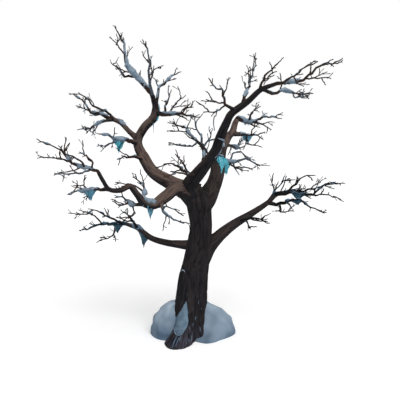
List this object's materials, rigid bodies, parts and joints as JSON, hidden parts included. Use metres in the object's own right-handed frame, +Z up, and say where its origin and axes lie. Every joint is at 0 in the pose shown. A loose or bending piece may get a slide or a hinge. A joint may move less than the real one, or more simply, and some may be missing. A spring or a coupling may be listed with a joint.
{
  "type": "bare winter tree",
  "caption": "Leafless broad-crowned tree in winter: flared trunk, forked crooked boughs and bare twigs, with snow and icicles on them and a drift round the foot.",
  "frame": {"origin": "middle of the flat cut under the trunk, at ground level", "axes": "+Z up the trunk, +X to the viewer's right, +Y away from the viewer"},
  "size_m": [6.077, 4.5145, 6.3165],
  "materials": {
    "bark": "rough, furrowed bark, near black-brown",
    "twigs": "matte twig bark with snow caught on it",
    "snow": "soft packed snow, blue-grey in shade",
    "ice": "clear cyan ice"
  },
  "bodies": {
    "root": {"trunk": "bark", "bough_left_lower": "bark", "bough_left_middle": "bark", "bough_left_upper": "bark", "bough_back_left": "bark", "bough_front_left_inner": "bark", "bough_front_left_middle": "bark", "bough_front_left_outer": "bark", "bough_low_left": "bark", "bough_low_right": "bark", "bough_front_right_lower": "bark", "bough_front_right_upper": "bark", "bough_back_right_lower": "bark", "bough_back_right_upper": "bark", "twigs_left_top": "twigs", "twigs_left_second_top": "twigs", "twigs_left_inner_top": "twigs", "twigs_left_inner_side": "twigs", "twigs_back_left_end": "twigs", "twigs_back_left_side": "twigs", "twigs_left_elbow": "twigs", "twigs_back_left_under": "twigs", "twigs_left_low": "twigs", "twigs_front_left_end": "twigs", "twigs_front_left_side": "twigs", "twigs_front_left_raised": "twigs", "twigs_front_left_hanging": "twigs", "twigs_front_left_inward": "twigs", "twigs_low_left_end": "twigs", "twigs_low_left_raised": "twigs", "twigs_low_right_end": "twigs", "twigs_low_right_hanging": "twigs", "twigs_low_right_under": "twigs", "twigs_low_right_raised": "twigs", "twigs_front_right_end": "twigs", "twigs_front_right_under": "twigs", "twigs_front_right_raised": "twigs", "twigs_front_right_raised_outer": "twigs", "twigs_front_right_elbow": "twigs", "twigs_centre_back": "twigs", "twigs_centre_front": "twigs", "twigs_back_right_end": "twigs", "twigs_back_right_side": "twigs", "twigs_back_right_low": "twigs", "twigs_back_right_rear": "twigs", "twigs_centre_rear": "twigs", "snow_front_left": "snow", "snow_low_left": "snow", "snow_back_left": "snow", "snow_back_right": "snow", "snow_mound": "snow", "icicles_front_left": "ice", "icicles_low_left": "ice"}
  },
  "joints": []
}
